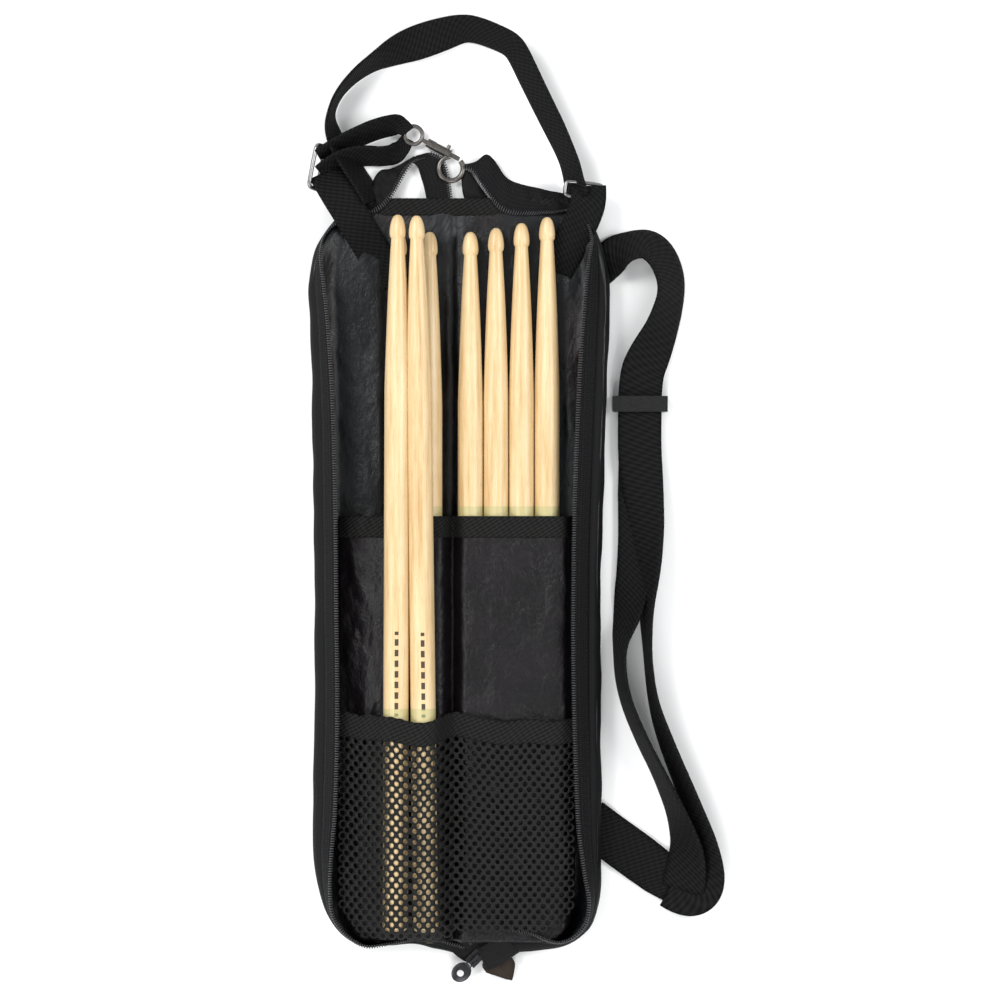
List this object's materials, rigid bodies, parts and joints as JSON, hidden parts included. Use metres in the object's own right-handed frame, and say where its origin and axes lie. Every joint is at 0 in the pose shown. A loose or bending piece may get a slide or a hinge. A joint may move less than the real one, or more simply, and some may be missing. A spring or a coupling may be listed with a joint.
{
  "type": "drum stick bag",
  "caption": "Padded fabric stick bag that opens flat about a centre spine, with upper and mesh pockets holding drumsticks, hanging straps with a snap hook, and a shoulder strap.",
  "frame": {"origin": "on the back face, at the middle of the spine", "axes": "+X to the right half, +Y to the top edge, +Z out of the open bag"},
  "size_m": [0.2411, 0.5565, 0.039],
  "materials": {
    "outer_nylon": "matt woven nylon",
    "foam": "closed foam",
    "lining_nylon": "shiny plain nylon",
    "binding_tape": "twill tape",
    "pocket_cloth": "smooth matt nylon",
    "mesh": "open knitted mesh",
    "zip_tape": "ribbed tape",
    "zip_coil": "moulded coil",
    "webbing": "ribbed webbing",
    "steel": "dull plated steel",
    "gunmetal": "gunmetal enamel",
    "black_plastic": "moulded",
    "end_tab": "folded coated cloth",
    "hickory": "satin lacquer"
  },
  "bodies": {
    "right_half": {"right_shell_panel": "outer_nylon", "right_foam_pad": "foam", "right_lining": "lining_nylon", "right_top_binding": "binding_tape", "right_upper_pocket": "pocket_cloth", "right_upper_binding": "binding_tape", "right_mesh_pocket": "mesh", "right_mesh_binding": "binding_tape", "right_gusset": "outer_nylon", "right_zip_tape": "zip_tape", "right_zip_coil": "zip_coil", "right_anchor_strap": "webbing", "spine_strip": "binding_tape", "zip_tail": "zip_tape", "zip_end_tab": "end_tab", "right_ring": "steel", "hanging_strap": "webbing", "shoulder_strap": "webbing", "shoulder_strap_return": "webbing", "shoulder_lower_tab": "webbing"},
    "left_half": {"left_shell_panel": "outer_nylon", "left_foam_pad": "foam", "left_lining": "lining_nylon", "left_top_binding": "binding_tape", "left_upper_pocket": "pocket_cloth", "left_upper_binding": "binding_tape", "left_mesh_pocket": "mesh", "left_mesh_binding": "binding_tape", "left_gusset": "outer_nylon", "left_zip_tape": "zip_tape", "left_zip_coil": "zip_coil", "left_anchor_strap": "webbing", "left_strap_slider": "steel", "hook_strap": "webbing", "snap_hook_eye": "steel"},
    "zip_slider": {"zip_slider": "gunmetal"},
    "zip_pull": {"zip_pull": "gunmetal"},
    "snap_hook": {"snap_hook_body": "steel"},
    "snap_bolt": {"snap_hook_bolt": "steel"},
    "shoulder_slider": {"shoulder_strap_slider": "black_plastic"},
    "stick_1": {"drumstick_1": "hickory"},
    "stick_2": {"drumstick_2": "hickory"},
    "stick_3": {"drumstick_3": "hickory"},
    "stick_4": {"drumstick_4": "hickory"},
    "stick_5": {"drumstick_5": "hickory"},
    "stick_6": {"drumstick_6": "hickory"},
    "stick_7": {"drumstick_7": "hickory"},
    "stick_8": {"drumstick_8": "hickory"}
  },
  "joints": [
    {"name": "fold", "type": "hinge", "parent": "right_half", "child": "left_half", "pos_m": [0, 0, 0.034], "axis": [0, 1, 0], "range_deg": [0, 180]},
    {"name": "zip_slide", "type": "slide", "parent": "right_half", "child": "zip_slider", "axis": [0.7071, 0.7071, 0], "range_m": [0, 0.002]},
    {"name": "pull_lift", "type": "hinge", "parent": "zip_slider", "child": "zip_pull", "pos_m": [0.01009, -0.22331, 0.0063], "axis": [-0.7071, 0.7071, 0], "range_deg": [0, 90]},
    {"name": "hook_swivel", "type": "hinge", "parent": "left_half", "child": "snap_hook", "pos_m": [-0.01614, 0.24537, 0.0038], "axis": [0.8862, -0.4633, 0], "continuous": true},
    {"name": "bolt_slide", "type": "slide", "parent": "snap_hook", "child": "snap_bolt", "axis": [-0.8862, 0.4633, 0], "range_m": [0, 0.005], "stiffness_N_per_m": 400},
    {"name": "shoulder_slide", "type": "slide", "parent": "right_half", "child": "shoulder_slider", "axis": [0, 1, 0], "range_m": [-0.015, 0.01]},
    {"name": "stick_1_slide", "type": "slide", "parent": "left_half", "child": "stick_1", "axis": [0, 1, 0], "range_m": [0, 0.24]},
    {"name": "stick_2_slide", "type": "slide", "parent": "left_half", "child": "stick_2", "axis": [0, 1, 0], "range_m": [0, 0.24]},
    {"name": "stick_3_slide", "type": "slide", "parent": "left_half", "child": "stick_3", "axis": [0, 1, 0], "range_m": [0, 0.24]},
    {"name": "stick_4_slide", "type": "slide", "parent": "left_half", "child": "stick_4", "axis": [0, 1, 0], "range_m": [0, 0.24]},
    {"name": "stick_5_slide", "type": "slide", "parent": "right_half", "child": "stick_5", "axis": [0, 1, 0], "range_m": [0, 0.24]},
    {"name": "stick_6_slide", "type": "slide", "parent": "right_half", "child": "stick_6", "axis": [0, 1, 0], "range_m": [0, 0.24]},
    {"name": "stick_7_slide", "type": "slide", "parent": "right_half", "child": "stick_7", "axis": [0, 1, 0], "range_m": [0, 0.24]},
    {"name": "stick_8_slide", "type": "slide", "parent": "right_half", "child": "stick_8", "axis": [0, 1, 0], "range_m": [0, 0.24]}
  ]
}
